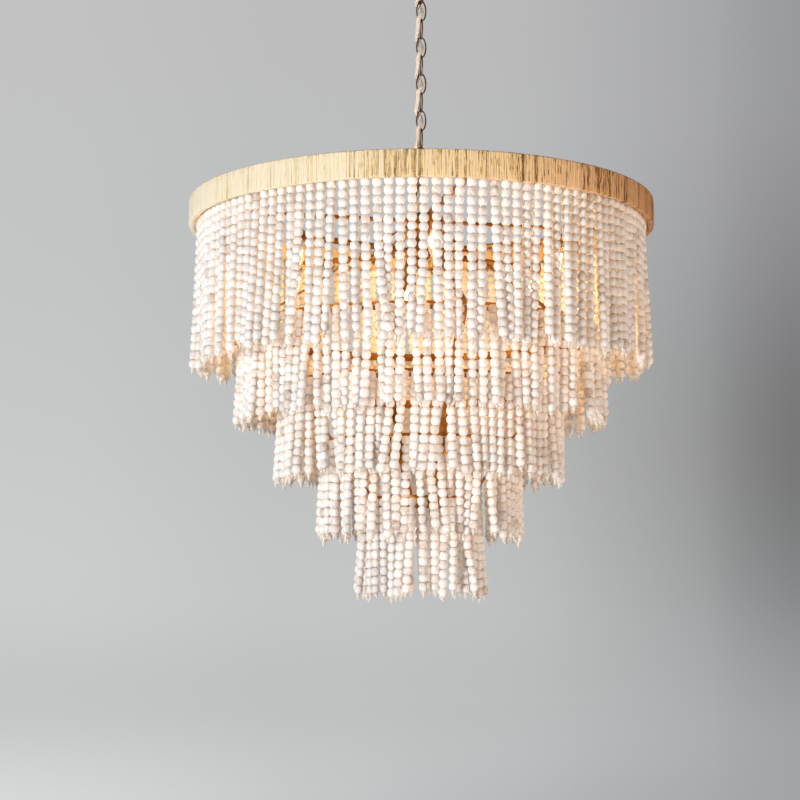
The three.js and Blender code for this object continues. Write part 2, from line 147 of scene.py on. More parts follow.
def looked_at(owner):
    """1 for what is seen, also by reflection or through glass, and 0 for what only gives light."""
    path = put(owner, "ShaderNodeLightPath").outputs
    seen = maths(owner, "MAXIMUM", path["Is Camera Ray"], path["Is Glossy Ray"])
    return maths(owner, "MAXIMUM", seen, path["Is Transmission Ray"])


def new_finish(name, roughness, metallic=0.0):
    """A finish with one shader, and that shader."""
    made = bpy.data.materials.new(name)
    made.use_nodes = True
    shader = made.node_tree.nodes["Principled BSDF"]
    shader.inputs["Roughness"].default_value = roughness
    shader.inputs["Metallic"].default_value = metallic
    return made, shader


def joined(finish, **sockets):
    """Links sockets to the finish's shader, by the shader's own names with _ for a space."""
    shader = finish.node_tree.nodes["Principled BSDF"]
    for key, socket in sockets.items():
        finish.node_tree.links.new(socket, shader.inputs[key.replace("_", " ")])


world = bpy.data.worlds.new("room")
scene.world = world
world.use_nodes = True
world.node_tree.nodes.clear()
looking = put(world, "ShaderNodeTexCoord").outputs["Generated"]
rise = put(world, "ShaderNodeSeparateXYZ", {"Vector": looking}).outputs["Z"]
rise = stretch(world, rise, -0.12, 0.32)
sideways = vectors(world, "DOT_PRODUCT", looking, camera_right, out="Value")
sideways = stretch(world, sideways, -0.25, 0.25)
wall_left = shades(
    world, rise, (0.03, "d5d7d6"), (0.13, "c5c7c6"), (0.27, "cbcdcc"), (0.46, "c8cac9"),
    (0.66, "c4c6c6"), (1.0, "c2c2c2"), ease="CARDINAL")
wall_right = shades(
    world, rise, (0.03, "a3a4a8"), (0.13, "9fa0a4"), (0.27, "8a8b8d"), (0.46, "797979"),
    (0.66, "868689"), (0.85, "97979b"), (1.0, "999a9e"), ease="CARDINAL")
across_low = shades(
    world, sideways, (0.03, "000000"), (0.3, "8e8e8e"), (0.48, "b8b8b8"), (0.66, "dadada"),
    (0.83, "f5f5f5"), (0.92, "ffffff"), ease="CARDINAL")
across_high = shades(
    world, sideways, (0.03, "000000"), (0.15, "303030"), (0.3, "606060"), (0.48, "737373"),
    (0.66, "9b9b9b"), (0.83, "dcdcdc"), (0.92, "ffffff"), ease="CARDINAL")
across = mixed(world, stretch(world, rise, 0.02, 0.14), across_low, across_high)
wall = mixed(world, across, wall_left, wall_right)
wall_seen = put(world, "ShaderNodeBackground", {"Color": wall, "Strength": 1.0})
room_light = put(world, "ShaderNodeBackground", {"Color": paint("cdc8c4"), "Strength": 0.12})
room = put(world, "ShaderNodeMixShader", {
    0: looked_at(world), 1: room_light.outputs[0], 2: wall_seen.outputs[0]})
put(world, "ShaderNodeOutputWorld", {"Surface": room.outputs[0]})

floor_radius = 6
floor_height = -2.4
floor_paleness = 0.7
floor_finish, _ = new_finish("pale floor", 0.9)
floor_tone = shades(
    floor_finish, noise(floor_finish, 3.0, 6.0), (0.3, "d3d4d4"), (0.7, "dcdddc"))
floor_glow = maths(floor_finish, "MULTIPLY", looked_at(floor_finish), floor_paleness)
joined(floor_finish, Base_Color=floor_tone, Emission_Color=floor_tone,
       Emission_Strength=floor_glow)
floor_mesh = bpy.data.meshes.new("floor")
floor_corners = [(floor_radius * math.cos(turn * math.tau / 64),
                  floor_radius * math.sin(turn * math.tau / 64), floor_height)
                 for turn in range(64)]
floor_mesh.from_pydata(floor_corners, [], [tuple(range(64))])
floor_mesh.materials.append(floor_finish)
floor = bpy.data.objects.new("floor", floor_mesh)
scene.collection.objects.link(floor)


# Lamps of the room: a broad soft one on the left, as from a window, and weak ones on the right
# and behind.
def soft_lamp(name, place, aim, size, power, color):
    """A round lamp, so many metres across and so many watts strong, turned towards its aim."""
    lamp = bpy.data.lights.new(name, "AREA")
    lamp.shape = "DISK"
    lamp.size = size
    lamp.energy = power
    lamp.color = paint(color)[:3]
    stand = bpy.data.objects.new(name, lamp)
    scene.collection.objects.link(stand)
    stand.location = place
    stand.rotation_euler = (Vector(aim) - Vector(place)).to_track_quat("-Z", "Y").to_euler()


middle = (0, 0, -0.7)
soft_lamp("window", towards_camera * 2.75 - camera_right * 2.3 + Vector((0, 0, -1.2)), middle,
          0.9, 103, "fdfbfa")
soft_lamp("far_side", towards_camera * 1.9 + camera_right * 2.4 + Vector((0, 0, -1.4)), middle,
          1.0, 48, "ffe4cf")
soft_lamp("behind", towards_camera * -2.7 + camera_right * 0.8 + Vector((0, 0, -0.5)), middle,
          1.4, 34, "fff6ee")


# Ceiling bar, its screws, the nipple and its nut: stamped and turned steel, zinc plated, which
# goes dull in blotches. They keep their CAD shapes, since the canopy hides them.
def bumped(finish, height, depth, strength=1.0):
    """Raises a finish by a height from 0 to 1, over a depth in metres."""
    made = put(finish, "ShaderNodeBump", {
        "Height": height, "Distance": depth, "Strength": strength})
    joined(finish, Normal=made.outputs["Normal"])


def metal(name, stops, roughness, blotch=60.0):
    """A metal whose tone and gloss change in soft blotches, with fine scratches."""
    finish, _ = new_finish(name, roughness, 1.0)
    place = put(finish, "ShaderNodeTexCoord").outputs["Object"]
    tarnish = noise(finish, blotch, 5.0, place, 0.6)
    scratches = noise(finish, 900.0, 3.0, place)
    gloss = stretch(finish, tarnish, 0.3, 0.7, roughness - 0.08, roughness + 0.14)
    joined(finish, Base_Color=shades(finish, tarnish, *stops), Roughness=gloss)
    bumped(finish, scratches, 0.00006, 0.35)
    return finish


zinc = metal("zinc plate", [(0.3, "85888b"), (0.55, "a5a8aa"), (0.75, "b9bbbb")], 0.42)
for name in ("ceiling_bar", "ceiling_screw_1", "ceiling_screw_2", "nipple", "nipple_nut"):
    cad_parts[name].data.materials.clear()
    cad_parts[name].data.materials.append(zinc)


# Canopy: a dish of 127 mm spun from sheet brass and darkened to an antique bronze, with a
# rolled step at its rim. The loop's neck passes through its flat middle.
def skin(rings, along=None, closed=False):
    """Faces over an array of rings of points, capped at both ends unless it closes on itself.
    Each face corner also gets a place: how far along, and what share of the way round."""
    rings = np.asarray(rings, float)
    rows, columns = rings.shape[:2]
    if along is None:
        along = np.arange(rows + 1, dtype=float)
    faces, places = [], []
    for row in range(rows if closed else rows - 1):
        after = (row + 1) % rows
        for column in range(columns):
            beside = (column + 1) % columns
            faces.append((row * columns + column, row * columns + beside,
                          after * columns + beside, after * columns + column))
            near, far = column / columns, (column + 1) / columns
            places += [(along[row], near), (along[row], far),
                       (along[row + 1], far), (along[row + 1], near)]
    if not closed:
        faces.append(tuple(reversed(range(columns))))
        faces.append(tuple(range((rows - 1) * columns, rows * columns)))
        places += [(along[0], 0)] * columns + [(along[rows - 1], 0)] * columns
    return rings.reshape(-1, 3), faces, places, 0.5


def lathe(profile, segments=72, centre=(0, 0)):
    """A profile of (radius, height) points turned round an upright axis. It closes on itself
    where its last point is its first."""
    profile = np.asarray(profile, float)
    closed = bool(np.allclose(profile[0], profile[-1]))
    if closed:
        profile = profile[:-1]
    turn = np.arange(segments) * math.tau / segments
    rings = np.stack([
        centre[0] + profile[:, :1] * np.cos(turn),
        centre[1] + profile[:, :1] * np.sin(turn),
        np.repeat(profile[:, 1:], segments, axis=1),
    ], axis=2)
    return skin(rings, closed=closed)


def piece(name, parts, finish, body=None, stands_for=(), sharp=35):
    """One mesh from parts in millimetres, smooth up to the sharp angle. It rides on its body,
    and its finish can read where each corner lies and each part's tone."""
    offsets = np.cumsum([0] + [len(part[0]) for part in parts])
    points = np.concatenate([part[0] for part in parts]) / 1000
    faces = []
    for part, offset in zip(parts, offsets):
        faces += [tuple(corner + int(offset) for corner in face) for face in part[1]]
    mesh = bpy.data.meshes.new(name)
    mesh.from_pydata(points.tolist(), [], faces)
    lay = mesh.uv_layers.new(name="lay")
    places = np.concatenate([np.asarray(part[2], float).reshape(-1, 2) for part in parts])
    lay.uv.foreach_set("vector", places.ravel())
    tone = mesh.attributes.new("tone", "FLOAT", "POINT")
    tones = [np.broadcast_to(np.asarray(part[3], float), len(part[0])) for part in parts]
    tone.data.foreach_set("value", np.concatenate(tones))
    work = bmesh.new()
    work.from_mesh(mesh)
    bmesh.ops.recalc_face_normals(work, faces=work.faces)
    work.to_mesh(mesh)
    work.free()
    mesh.polygons.foreach_set("use_smooth", np.ones(len(mesh.polygons), bool))
    mesh.set_sharp_from_angle(angle=math.radians(sharp))
    mesh.materials.append(finish)
    made = bpy.data.objects.new(name, mesh)
    scene.collection.objects.link(made)
    if body:
        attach(made, body)
    if stands_for:
        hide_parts(*stands_for)
    return made


bronze = metal(
    "antique bronze", [(0.28, "2e2419"), (0.5, "5d4a30"), (0.72, "a48a5c")], 0.36, blotch=140.0)
canopy_rim = 63.5
canopy_sheet = 1.2
dish_rim = 60.0
dish_flat = 22.0
dish_drop = 19.0
dish_turn = math.acos(dish_flat / dish_rim)
dish = [(dish_rim * math.cos(turn), -5 - dish_drop * math.sin(turn) / math.sin(dish_turn))
        for turn in np.linspace(0, dish_turn, 22)]
dish_inside = [(radius - canopy_sheet, height + canopy_sheet) for radius, height in dish]
canopy_outline = (
    [(11.3, -24.0)] + dish[::-1]
    + [(60.3, -5.0), (62.4, -5.0), (63.2, -4.7), (canopy_rim, -4.0), (canopy_rim, -0.6),
       (63.2, 0.0), (62.3, 0.0), (62.3, -3.8), (58.8, -3.8)]
    + dish_inside[1:] + [(11.3, -22.8), (11.3, -24.0)])
piece("spun_canopy", [lathe(canopy_outline, 128)], bronze, "ceiling", ["canopy"])

# Canopy collar: a brass ring nut, turned and darkened like the canopy, with a straight knurl.
# It screws up the loop's neck and holds the canopy against the ceiling.
knurl_teeth = 40
knurl_depth = 0.045
collar = lathe([
    (11.3, -31.6), (14.6, -31.6), (15.4, -31.0), (16.0, -30.4), (16.0, -25.6), (15.4, -25.0),
    (14.6, -24.4), (11.3, -24.4), (11.3, -31.6)], 240)
around = np.arctan2(collar[0][:, 1], collar[0][:, 0])
reach = np.hypot(collar[0][:, 0], collar[0][:, 1])
knurl = np.where(reach > 15.7, 1 - knurl_depth * (0.5 - 0.5 * np.cos(knurl_teeth * around)), 1)
collar[0][:, :2] *= knurl[:, None]
piece("knurled_collar", [collar], bronze, "collar", ["canopy_collar"])


# Loops: a turned neck with a ring of 4 mm wire brazed to it, one under the canopy and one on
# the hub. The cord passes down through both necks.
def sweep(path, section, upright, closed=False, along=None):
    """A section of (aside, out) points drawn along a path. Aside follows the upright direction,
    which may be one for the whole path or one for each point."""
    path = np.asarray(path, float)
    if closed:
        ahead = np.roll(path, -1, axis=0) - np.roll(path, 1, axis=0)
    else:
        ahead = np.gradient(path, axis=0)
    ahead /= np.linalg.norm(ahead, axis=1)[:, None]
    upright = np.broadcast_to(np.asarray(upright, float), path.shape)
    out = np.cross(ahead, upright)
    out /= np.linalg.norm(out, axis=1)[:, None]
    aside = np.cross(out, ahead)
    section = np.asarray(section, float)
    rings = (path[:, None] + aside[:, None] * section[None, :, :1]
             + out[:, None] * section[None, :, 1:])
    if along is None:
        steps = np.linalg.norm(np.diff(path, axis=0, append=path[:1]), axis=1)
        along = np.concatenate([[0], np.cumsum(steps)])
    return skin(rings, along, closed)


def wire(radius, sides=12, flatness=1.0):
    """A round wire's section, or an oval one where the flatness isn't 1."""
    turn = np.arange(sides) * math.tau / sides
    return np.stack([radius * np.cos(turn), radius * flatness * np.sin(turn)], axis=1)


loop_wire = 4.0
loop_radius = 10.0


def loop_ring(height):
    """A loop's ring, upright and seen open from the side."""
    turn = np.arange(64) * math.tau / 64
    ring = np.stack(
        [0 * turn, loop_radius * np.cos(turn), height + loop_radius * np.sin(turn)], axis=1)
    return sweep(ring, wire(loop_wire / 2, 18), (1, 0, 0), closed=True)


canopy_loop_height = -44.0
hub_loop_height = -399.0
top_neck = lathe([
    (4.6, -36.0), (6.5, -36.4), (8.2, -36.0), (9.8, -34.8), (10.7, -33.2), (11.0, -31.5),
    (11.0, -12.6), (10.4, -12.0), (6.9, -12.0), (6.9, -23.7), (4.6, -24.2), (4.6, -36.0)])
piece("canopy_hanging_loop", [top_neck, loop_ring(canopy_loop_height)], bronze,
      "ceiling", ["canopy_loop"])
low_neck = lathe([
    (4.6, -407.0), (6.5, -406.6), (8.2, -407.0), (9.8, -408.2), (10.7, -409.8), (11.0, -411.2),
    (11.0, -415.4), (10.4, -416.0), (6.9, -416.0), (6.9, -411.3), (4.6, -411.0), (4.6, -407.0)])
piece("hub_hanging_loop", [low_neck, loop_ring(hub_loop_height)], bronze,
      "fixture", ["hub_loop"])

# Chain: eleven ovals of 2.4 mm wire, bent and butted, and darkened like the canopy. Every
# other one is turned a quarter, and each hangs in the one above.
link_count = 11
first_link = -67.0
link_pitch = 30.9
link_rise = 17.1
link_spread = 7.6
link_wire = 2.4
link_heights = [first_link - index * link_pitch for index in range(link_count)]
turn = np.arange(72) * math.tau / 72
for index, height in enumerate(link_heights):
    faces_front = index % 2 == 0
    oval = np.zeros((72, 3))
    oval[:, 0 if faces_front else 1] = link_spread * np.sin(turn)
    oval[:, 2] = height + link_rise * np.cos(turn)
    flat = (0, 1, 0) if faces_front else (1, 0, 0)
    link = sweep(oval, wire(link_wire / 2, 14), flat, closed=True)
    number = f"{index + 1:02d}"
    piece("bronze_link_" + number, [link], bronze, "link_" + number,
          ["chain_link_" + number])

# Power cord: a round three-core lead of 7.5 mm in a braided cream cotton sleeve. It comes down
# the canopy's nipple, goes through every facing link from back to front, lies beside the links
# between them and runs down inside the column.
cord_radius = 3.75
cord_clear = 6.05
end_bow = 1.35

# The route's sideways places are shares of how far the cord's middle stands off the chain's,
# which is a little more beside the two loops.
cord_route = [(0, 0, -22), (0, 0, -29), (0, 0, -36), (-0.55, 0, canopy_loop_height)]
for index in range(0, link_count, 2):
    above = end_bow if index == 0 else 1
    below = end_bow if index + 1 >= link_count else 1
    middle_height = link_heights[index]
    cord_route += [
        (-1, above, middle_height + 0.5 * link_pitch),
        (-0.3, 0.85 * above, middle_height + 0.26 * link_pitch),
        (0, 0, middle_height),
        (-0.3, -0.85 * below, middle_height - 0.26 * link_pitch),
        (-1, -below, middle_height - 0.5 * link_pitch),
    ]
    if index + 1 < link_count:
        cord_route.append((-0.9, 0, link_heights[index + 1]))
cord_route += [(-0.55, 0, hub_loop_height), (0, 0, -407), (0, 0, -414), (0, 0, -467)]
cord_route = np.array(cord_route, float) * (cord_clear, cord_clear, 1)


def through(route, steps):
    """A smooth line through a route's points, evenly loose at each of them."""
    ends = np.concatenate([[2 * route[0] - route[1]], route, [2 * route[-1] - route[-2]]])
    line = []
    for before, start, stop, after in zip(ends, ends[1:], ends[2:], ends[3:]):
        knots = np.cumsum([0] + [math.sqrt(np.linalg.norm(b - a))
                                 for a, b in ((before, start), (start, stop), (stop, after))])
        for time in np.linspace(knots[1], knots[2], steps, endpoint=False):
            def between(a, b, low, high):
                return a + (b - a) * (time - knots[low]) / (knots[high] - knots[low])
            first = between(before, start, 0, 1)
            second = between(start, stop, 1, 2)
            third = between(stop, after, 2, 3)
            line.append(between(between(first, second, 0, 2), between(second, third, 1, 3), 1, 2))
    return np.array(line + [route[-1]])


cord_line = through(cord_route, 7)
cord_lengths = np.concatenate([[0], np.cumsum(np.linalg.norm(np.diff(cord_line, axis=0), axis=1))])


def stripes(owner, rounds, closeness):
    """Waves from -1 to 1 that wind round a cord, so many in its round and so close along it."""
    lay = put(owner, "ShaderNodeUVMap", uv_map="lay").outputs["UV"]
    lay = put(owner, "ShaderNodeSeparateXYZ", {"Vector": lay}).outputs
    phase = maths(owner, "MULTIPLY_ADD", lay["Y"], rounds * math.tau, 0.0)
    phase = maths(owner, "MULTIPLY_ADD", lay["X"], closeness, phase)
    return maths(owner, "SINE", phase)


braid, _ = new_finish("braided cotton", 0.85)
plaits = maths(braid, "MAXIMUM", stripes(braid, 8, 1.9), stripes(braid, -8, 1.9))
fuzz = noise(braid, 1800.0, 3.0)
plait_tone = maths(braid, "MULTIPLY_ADD", plaits, 0.3, fuzz)
joined(braid, Base_Color=shades(
    braid, plait_tone, (0.1, "c0ab98"), (0.45, "f3e6da"), (0.8, "fdf8f2")))
bumped(braid, plaits, 0.0004, 0.7)

# The cord is cut into stretches at the middle of each link, from the nipple down into the column.
cuts = [cord_route[0][2]] + link_heights + [cord_route[-1][2]]
for index, (top, bottom) in enumerate(zip(cuts, cuts[1:])):
    first = int(np.argmin(abs(cord_line[:, 2] - top)))
    last = int(np.argmin(abs(cord_line[:, 2] - bottom)))
    stretch_of_cord = sweep(cord_line[first : last + 1], wire(cord_radius, 20), (1, 0, 0),
                            along=np.append(cord_lengths[first : last + 1], 0))
    made = piece(f"braided_cord_{index + 1:02d}", [stretch_of_cord], braid)
    if index == 0:
        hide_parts("power_cord")
    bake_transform(made)

# Column: a brass pipe threaded over its whole length, from the hub's loop to the finial. A hex
# nut locks the hub to it from below.
gold = metal("satin gold", [(0.25, "6e3c14"), (0.5, "b07026"), (0.75, "d9a24c")], 0.34, blotch=45.0)
threads = []
for height in np.arange(-499.2, -411.4, 1.0):
    threads += [(6.05, height), (6.5, height + 0.5)]
pipe = lathe([(4.6, -499.3)] + threads + [(6.1, -411.3), (4.6, -411.3), (4.6, -499.3)], 36)
piece("threaded_column", [pipe], gold, "fixture", ["column"])


def hex_nut(bottom, top):
    """A hex nut for the pipe: its corners are turned off at both ends."""
    bore = 6.7
    half_flats = 9.55
    rings = []
    turns = np.arange(60) * math.tau / 60
    flats = half_flats / np.cos((turns + math.pi / 6) % (math.pi / 3) - math.pi / 6)
    for reach, height in ((None, bottom), (9.6, bottom), (11.0, bottom + 0.7),
                          (11.0, top - 0.7), (9.6, top), (None, top)):
        radius = bore + 0 * turns if reach is None else np.minimum(flats, reach)
        rings.append(np.stack(
            [radius * np.cos(turns), radius * np.sin(turns), height + 0 * turns], axis=1))
    return skin(rings, closed=True)


piece("hub_lock_nut", [hex_nut(-440.6, -436.6)], gold, "fixture", ["hub_nut"])

# Top frame: a turned hub, four flat steel spokes and a flat hoop, welded together and sprayed
# a satin gold. The hoop is hidden in the jute.
hub_top = -416.3
hub_bottom = -436.3
spoke_height = -420.3
strap_width = 12
spoke_thickness = 5


def flat_bar(width, thickness):
    """A flat bar's section with softened edges."""
    edge = 0.6
    half, deep = width / 2, thickness / 2
    corners = []
    for side, face, turn in ((1, 1, 0), (-1, 1, 1), (-1, -1, 2), (1, -1, 3)):
        for step in range(3):
            bend = (turn + step / 2) * math.pi / 2
            corners.append((side * (half - edge) + edge * math.cos(bend),
                            face * (deep - edge) + edge * math.sin(bend)))
    return corners


def facing(turns):
    """The directions outwards and sideways at an angle round the axis."""
    across, deep = math.cos(turns), math.sin(turns)
    return np.array([across, deep, 0]), np.array([-deep, across, 0])


def strap(outline, width, thickness, turns):
    """A flat strap that follows (radius, height) points in an upright plane through the axis."""
    out, side = facing(turns)
    path = [out * radius + (0, 0, height) for radius, height in outline]
    return sweep(path, flat_bar(width, thickness), side)


hub_outline = [
    (6.8, hub_bottom), (22.6, hub_bottom), (23.6, hub_bottom + 0.5), (24.0, hub_bottom + 1.5),
    (24.0, hub_top - 1.5), (23.6, hub_top - 0.5), (22.6, hub_top), (6.8, hub_top),
    (6.8, hub_bottom)]
hoop_outline = [
    (368.7, -435.3), (371.7, -435.3), (371.7, -400.6), (368.7, -400.6), (368.7, -435.3)]
frame_parts = [lathe(hub_outline), lathe(hoop_outline, 192)]
spoke = [(radius, spoke_height) for radius in (22, 130, 250, 370)]
for quarter in range(4):
    frame_parts.append(strap(spoke, strap_width, spoke_thickness, quarter * math.pi / 2))
piece("welded_top_frame", frame_parts, gold, "fixture", ["top_frame"])

# Jute band: a flat hoop bound with about 700 turns of jute twine, laid side by side. Each turn
# is a little wider, paler or more slanted than the next, and loose fibres stand off it.
band_outer = 375.0
band_inner = 365.4
band_top = -397.3
band_bottom = -438.3
turn_width = 3.3
random = np.random.default_rng(41)

jute, jute_shader = new_finish("jute twine", 0.9)
jute_shader.inputs["Sheen Weight"].default_value = 0.25
lay = put(jute, "ShaderNodeUVMap", uv_map="lay").outputs["UV"]
tone = put(jute, "ShaderNodeAttribute", attribute_name="tone").outputs["Fac"]
apart = put(jute, "ShaderNodeCombineXYZ", {"Z": stretch(jute, tone, 0, 1, 0, 90)}).outputs[0]


def streaks(along, around, detail, roughness=0.5):
    """Noise drawn out along the twine, with other streaks on each turn."""
    drawn = vectors(jute, "MULTIPLY", lay, (along, around, 0.0))
    return noise(jute, 1.0, detail, vectors(jute, "ADD", drawn, apart), roughness)


fibres = streaks(0.05, 9.0, 4.0, 0.65)
dashes = stretch(jute, streaks(0.06, 5.0, 2.0), 0.54, 0.7, 0.0, -0.3)
slubs = noise(jute, 130.0, 2.0)
paleness = maths(jute, "MULTIPLY_ADD", tone, 0.85, -0.43)
paleness = maths(jute, "ADD", paleness, fibres)
paleness = maths(jute, "MULTIPLY_ADD", slubs, 0.35, paleness)
paleness = maths(jute, "ADD", paleness, dashes)

# The band is painted paler on one side and darker and more tan on the other, as painted light and
# shade. On the shaded side its streaks are painted stronger and a painted shadow runs along its
# upper rim.
shade_bearing = math.radians(-13)
shade_way = (math.cos(shade_bearing), math.sin(shade_bearing), 0)
place = put(jute, "ShaderNodeTexCoord").outputs["Object"]
shade_side = vectors(jute, "DOT_PRODUCT", place, shade_way, out="Value")
shade_side = stretch(jute, shade_side, -band_outer / 1000, band_outer / 1000)
# Painted shadow along the band's upper rim, on the side with painted shade.
rim_shadow = put(jute, "ShaderNodeSeparateXYZ", {"Vector": place}).outputs["Z"]
rim_shadow = stretch(jute, rim_shadow, band_top / 1000 - 0.0022, band_top / 1000 - 0.0008, 0.0, -0.3)
rim_shadow = maths(jute, "MULTIPLY", rim_shadow, stretch(jute, shade_side, 0.5, 0.8))
paleness = maths(jute, "ADD", paleness, rim_shadow)
middle_tone = 0.66
# The streaks are painted stronger towards the side with painted shade.
shade_side_contrast = stretch(jute, shade_side, 0.3, 0.85, 0.5, 2.7)
paleness = maths(jute, "SUBTRACT", paleness, middle_tone)
paleness = maths(jute, "MULTIPLY_ADD", paleness, shade_side_contrast, middle_tone)
twine_tone = shades(
    jute, paleness, (0.2, "6b4a22"), (0.42, "d4ba88"), (0.6, "f8eed8"), (0.85, "fef8ea"))
# Painted light and shade across the band: near white on the lit side, tan on the shaded side.
painted_side_shade = shades(
    jute, shade_side, (0.0, "fdfbf4"), (0.35, "fdf5e2"), (0.55, "f6e5c0"), (0.8, "fadab0"),
    (1.0, "c99660"))
joined(jute, Base_Color=mixed(jute, 1.0, twine_tone, painted_side_shade, blend="MULTIPLY"))
bumped(jute, fibres, 0.0005, 0.6)


def band_loop(lift):
    """The way round the band's cross-section as (radius, height), standing off by a lift."""
    corner = 2.4
    right, left = band_outer - corner, band_inner + corner
    upper, lower = band_top - corner, band_bottom + corner
    loop = []
    for radius, height, quarter in ((right, upper, 0), (left, upper, 1),
                                    (left, lower, 2), (right, lower, 3)):
        for step in range(4):
            bend = (quarter + step / 3) * math.pi / 2
            loop.append((radius + (corner + lift) * math.cos(bend),
                         height + (corner + lift) * math.sin(bend)))
        if quarter in (1, 3):
            rise = (band_top - band_bottom - 2 * corner) * (1 if quarter == 3 else -1)
            for share in (0.25, 0.5, 0.75):
                loop.append((loop[-1][0], height + rise * share))
    return np.array(loop)


under = band_loop(-1.2)
core = lathe(np.vstack([under, under[:1]]), 180)
band_parts = [(*core[:3], 0.25)]
twine_thickness = 0.95
overlap = 1.12
angle = 0.0
while angle < math.tau:
    half = turn_width * random.uniform(0.36, 0.68)
    angle += half / band_outer
    loop = band_loop(-twine_thickness + random.uniform(-0.25, 0.15))
    wander = np.interp(loop[:, 1], [band_bottom, band_top], random.normal(0, 0.55, 2))
    outside = np.where(loop[:, 0] > (band_outer + band_inner) / 2, 1, -1)
    slant = outside * wander / band_outer
    slant += random.normal(0, 0.18, len(loop)) / band_outer
    turns = angle + slant
    path = np.stack([loop[:, 0] * np.cos(turns), loop[:, 0] * np.sin(turns), loop[:, 1]], axis=1)
    side = np.stack([-np.sin(turns), np.cos(turns), 0 * turns], axis=1)
    section = wire(half * overlap, 6, twine_thickness / (half * overlap))
    twine = sweep(path, section, side, closed=True)
    tone = 0.55 + 0.1 * math.sin(3 * angle + 1) * math.sin(11 * angle) + random.normal(0, 0.15)
    band_parts.append((*twine[:3], min(max(tone, 0), 1)))
    angle += half / band_outer
hair_count = 420
for _ in range(hair_count):
    angle = random.uniform(0, math.tau)
    height = random.uniform(band_bottom + 2, band_top - 2)
    lean = random.normal(0, 1, 2)
    length = random.uniform(3, 10)
    out, side = facing(angle)
    start = out * (band_outer - 0.4) + (0, 0, height)
    hair_path = [start + out * 2.2 * share + side * length * lean[0] * 0.5 * share
                 + np.array((0, 0, length * (0.6 + 0.4 * lean[1]) * share - 2 * share * share))
                 for share in (0, 0.35, 0.7, 1)]
    band_parts.append((*sweep(hair_path, wire(0.09, 3), side)[:3], 0.8))
piece("bound_jute_band", band_parts, jute, "fixture", ["jute_band"], sharp=80)

# Rings 2 to 5: flat steel bands sprayed satin gold, which step inwards and down. Four straps
# carry each one from the hub or from the ring above, and rivets hold the straps' ends.
ring_heights = {2: -605.3, 3: -695.8, 4: -786.3, 5: -876.8}
ring_outers = {2: 280.75, 3: 214.58, 4: 148.42, 5: 82.25}
ring_thickness = 2.5
ring_half = 6.5
strap_thickness = 3.0


def rivet(radius, height, turns):
    """A low rivet head of 6 mm on an upright face that is turned towards the axis."""
    out, side = facing(turns)
    spin = np.arange(16) * math.tau / 16
    rings = []
    for reach, proud in ((3.0, -0.4), (3.0, 0.3), (2.5, 0.95), (1.4, 1.35), (0.2, 1.5)):
        ring = np.array([out * (radius - proud) + side * reach * math.cos(step)
                         + np.array((0, 0, height + reach * math.sin(step))) for step in spin])
        rings.append(ring)
    return skin(rings)


for ring, height in ring_heights.items():
    outer = ring_outers[ring]
    inner = outer - ring_thickness
    top, bottom = height + ring_half, height - ring_half
    band = lathe([
        (inner, bottom + 0.5), (inner + 0.5, bottom), (outer - 0.5, bottom), (outer, bottom + 0.5),
        (outer, top - 0.5), (outer - 0.5, top), (inner + 0.5, top), (inner, top - 0.5),
        (inner, bottom + 0.5)], 180)
    parts = [band]
    face = inner - strap_thickness / 2
    for quarter in range(4):
        turns = quarter * math.pi / 2
        if ring == 2:
            head = [(23.0, hub_bottom + 5), (27.0, hub_bottom + 5), (30.0, hub_bottom + 3.2)]
        else:
            upper = ring_outers[ring - 1] - ring_thickness - strap_thickness / 2 - 0.1
            above = ring_heights[ring - 1]
            head = [(upper, above + 6), (upper, above - 1), (upper - 1.2, above - 4)]
            parts.append(rivet(upper - strap_thickness / 2, above + 2.0, turns))
        foot = [(face + 0.4, height + 5.5), (face, height + 2.5), (face, height - 5.5)]
        parts.append(strap(head + foot, strap_width, strap_thickness, turns))
        parts.append(rivet(face - strap_thickness / 2, height - 1.5, turns))
    piece(f"gold_ring_{ring}", parts, gold, "fixture", [f"ring_{ring}"])

# Bead strands: turned wooden beads just under 14 mm across, dipped in a thin whitewash, threaded
# on cotton and knotted below the last. Each strand is tied to a cord that runs round its ring.
# The strands hang straight at the top and lean together or apart further down.
bead_half = 6.65
bead_radius = 6.95
bead_pitch = 13.4
tiers = {
    1: {"radius": 356.34, "top": band_bottom + 5, "beads": 17, "sections": 6, "strands": 132},
    2: {"radius": 289.0, "top": ring_heights[2] + 1.5, "beads": 11, "sections": 4, "strands": 108},
    3: {"radius": 222.83, "top": ring_heights[3] + 1.5, "beads": 11, "sections": 3, "strands": 84},
    4: {"radius": 156.67, "top": ring_heights[4] + 1.5, "beads": 11, "sections": 2, "strands": 60},
    5: {"radius": 90.5, "top": ring_heights[5] + 1.5, "beads": 11, "sections": 2, "strands": 34},
}

whitewash, _ = new_finish("whitewashed wood", 0.62)
tone = put(whitewash, "ShaderNodeAttribute", attribute_name="tone").outputs["Fac"]
place = put(whitewash, "ShaderNodeTexCoord").outputs["Object"]
grain_shift = put(whitewash, "ShaderNodeCombineXYZ", {"X": stretch(whitewash, tone, 0, 1, 0, 3)})
grain_place = vectors(whitewash, "MULTIPLY", place, (1.0, 1.0, 0.22))
grain_place = vectors(whitewash, "ADD", grain_place, grain_shift.outputs[0])
grain = noise(whitewash, 620.0, 4.0, grain_place, 0.6)
cloud = noise(whitewash, 170.0, 2.0, place)
ends = put(whitewash, "ShaderNodeUVMap", uv_map="lay").outputs["UV"]
ends = put(whitewash, "ShaderNodeSeparateXYZ", {"Vector": ends}).outputs["Y"]
wash = maths(whitewash, "MULTIPLY_ADD", tone, 0.6, -0.3)
wash = maths(whitewash, "MULTIPLY_ADD", grain, 0.45, wash)
wash = maths(whitewash, "MULTIPLY_ADD", cloud, 0.55, wash)
